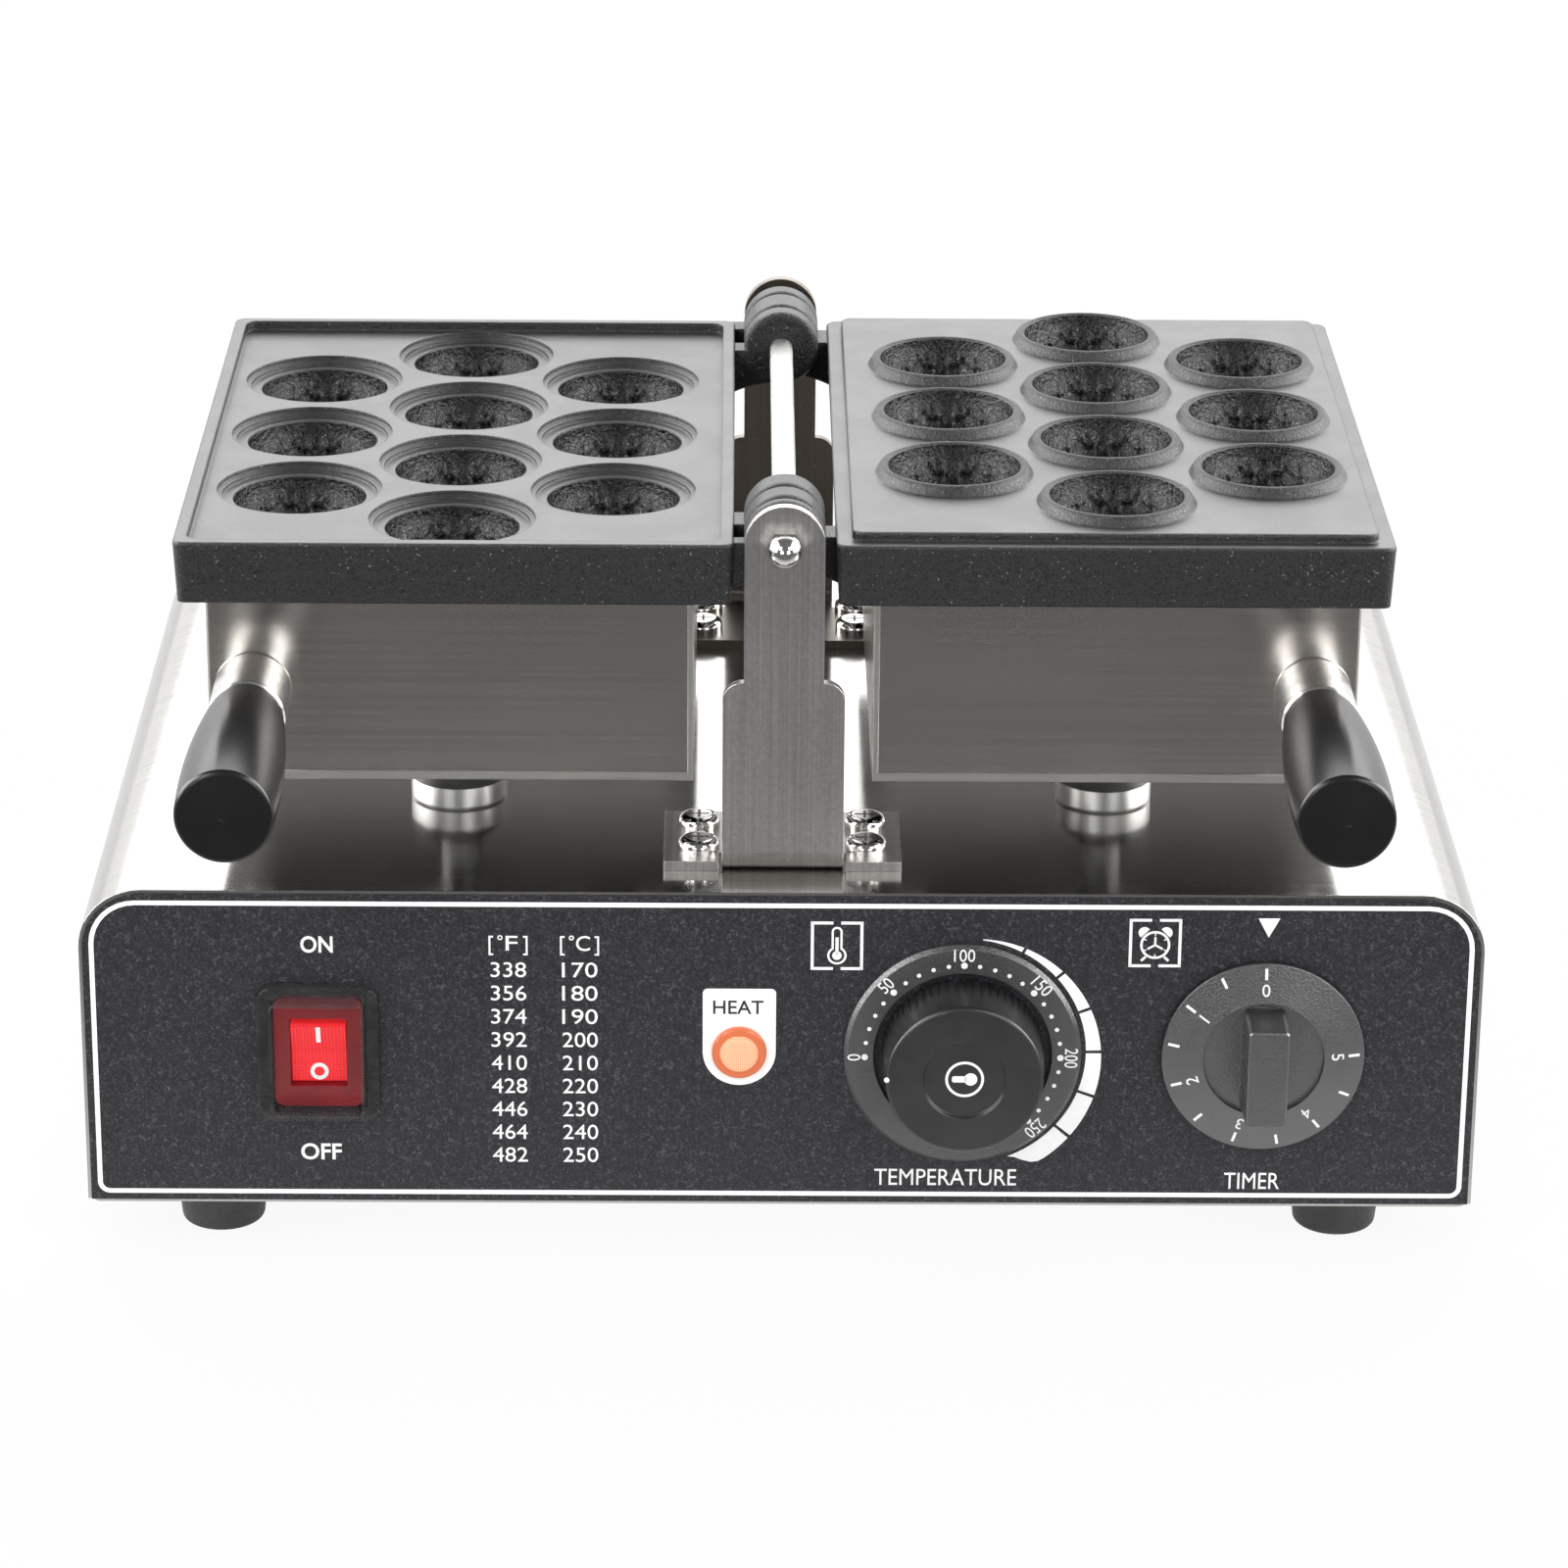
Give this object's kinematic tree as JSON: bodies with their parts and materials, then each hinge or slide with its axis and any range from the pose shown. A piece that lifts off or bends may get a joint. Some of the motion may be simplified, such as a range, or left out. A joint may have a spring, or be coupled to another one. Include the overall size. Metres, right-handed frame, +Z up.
{
  "type": "walnut cake maker",
  "caption": "Electric cake maker: two hinged cast mould plates with round walnut cavities and front handles on a stainless base with switch, heat lamp, thermostat and timer.",
  "frame": {"origin": "on the surface the machine stands on, under the middle of its overall width and length", "axes": "+X to the right seen from the front, +Y to the back, +Z up; the hinge shaft lies along Y over the origin"},
  "size_m": [0.4, 0.365, 0.2272],
  "materials": {
    "brushed_sheet": "brushed stainless sheet",
    "bright_steel": "bright plated",
    "polished_ferrule": "polished",
    "coated_casting": "dark non-stick coat over cast aluminium",
    "turned_aluminium": "turned",
    "gloss_black": "glossy moulded",
    "element_sheath": "heat-darkened sheath",
    "fibre_board": "ceramic fibre",
    "black_rubber": "matt",
    "printed_overlay": "fine speckled film",
    "black_plastic": "fine grained",
    "red_flange": "dark translucent red",
    "red_rocker": "translucent red",
    "clear_hood": "clear soft cover",
    "lamp_ring": "translucent",
    "lamp_glow": "ribbed lens",
    "ceramic": "glazed"
  },
  "bodies": {
    "base": {"housing_shell": "brushed_sheet", "front_panel": "brushed_sheet", "control_overlay": "printed_overlay", "back_panel": "brushed_sheet", "bottom_plate": "brushed_sheet", "bottom_screws": "bright_steel", "rubber_feet": "black_rubber", "foot_screws": "bright_steel", "base_nuts": "bright_steel", "front_hinge_bracket": "brushed_sheet", "rear_hinge_bracket": "brushed_sheet", "bracket_screws": "bright_steel", "hinge_shaft": "bright_steel", "shaft_nuts": "bright_steel", "shaft_spacer": "bright_steel", "switch_body": "red_flange", "switch_hood": "clear_hood", "lamp_bezel": "lamp_ring", "lamp_lens": "lamp_glow", "lamp_body": "black_plastic", "thermostat_scale": "black_plastic", "thermostat_body": "bright_steel", "timer_body": "black_plastic", "device_screws": "bright_steel", "cable_gland": "black_plastic", "gland_nut": "black_plastic", "lead_grommets": "black_rubber", "terminal_block": "ceramic"},
    "left_half": {"left_mould_plate": "coated_casting", "left_hinge_arms": "coated_casting", "left_heater_box": "brushed_sheet", "left_heating_element": "element_sheath", "left_element_clamp": "bright_steel", "left_insulation_pad": "fibre_board", "left_box_studs": "bright_steel", "left_screws": "bright_steel", "left_support_foot": "turned_aluminium", "left_handle_ferrule": "polished_ferrule", "left_handle_grip": "gloss_black", "left_handle_bolt": "bright_steel", "left_box_grommet": "black_rubber", "thermostat_bulb": "bright_steel"},
    "right_half": {"right_mould_plate": "coated_casting", "right_hinge_arms": "coated_casting", "right_heater_box": "brushed_sheet", "right_heating_element": "element_sheath", "right_element_clamp": "bright_steel", "right_insulation_pad": "fibre_board", "right_box_studs": "bright_steel", "right_screws": "bright_steel", "right_support_foot": "turned_aluminium", "right_handle_ferrule": "polished_ferrule", "right_handle_grip": "gloss_black", "right_handle_bolt": "bright_steel", "right_box_grommet": "black_rubber"},
    "rocker": {"switch_rocker": "red_rocker"},
    "thermostat_control": {"thermostat_knob": "black_plastic", "thermostat_shaft": "bright_steel"},
    "timer_control": {"timer_knob": "black_plastic", "timer_shaft": "bright_steel"}
  },
  "joints": [
    {"name": "left_half_hinge", "type": "hinge", "parent": "base", "child": "left_half", "pos_m": [0, 0, 0.2157], "axis": [0, 1, 0], "range_deg": [0, 180]},
    {"name": "right_half_hinge", "type": "hinge", "parent": "base", "child": "right_half", "pos_m": [0, 0, 0.2157], "axis": [0, -1, 0], "range_deg": [0, 180]},
    {"name": "thermostat_turn", "type": "hinge", "parent": "base", "child": "thermostat_control", "pos_m": [0.0518, -0.12, 0.0675], "axis": [0, 1, 0], "range_deg": [0, 228]},
    {"name": "timer_turn", "type": "hinge", "parent": "base", "child": "timer_control", "pos_m": [0.1378, -0.12, 0.0675], "axis": [0, 1, 0], "range_deg": [0, 272]},
    {"name": "rocker_tilt", "type": "hinge", "parent": "base", "child": "rocker", "pos_m": [-0.1323, -0.11, 0.0675], "axis": [-1, 0, 0], "range_deg": [0, 20]}
  ]
}
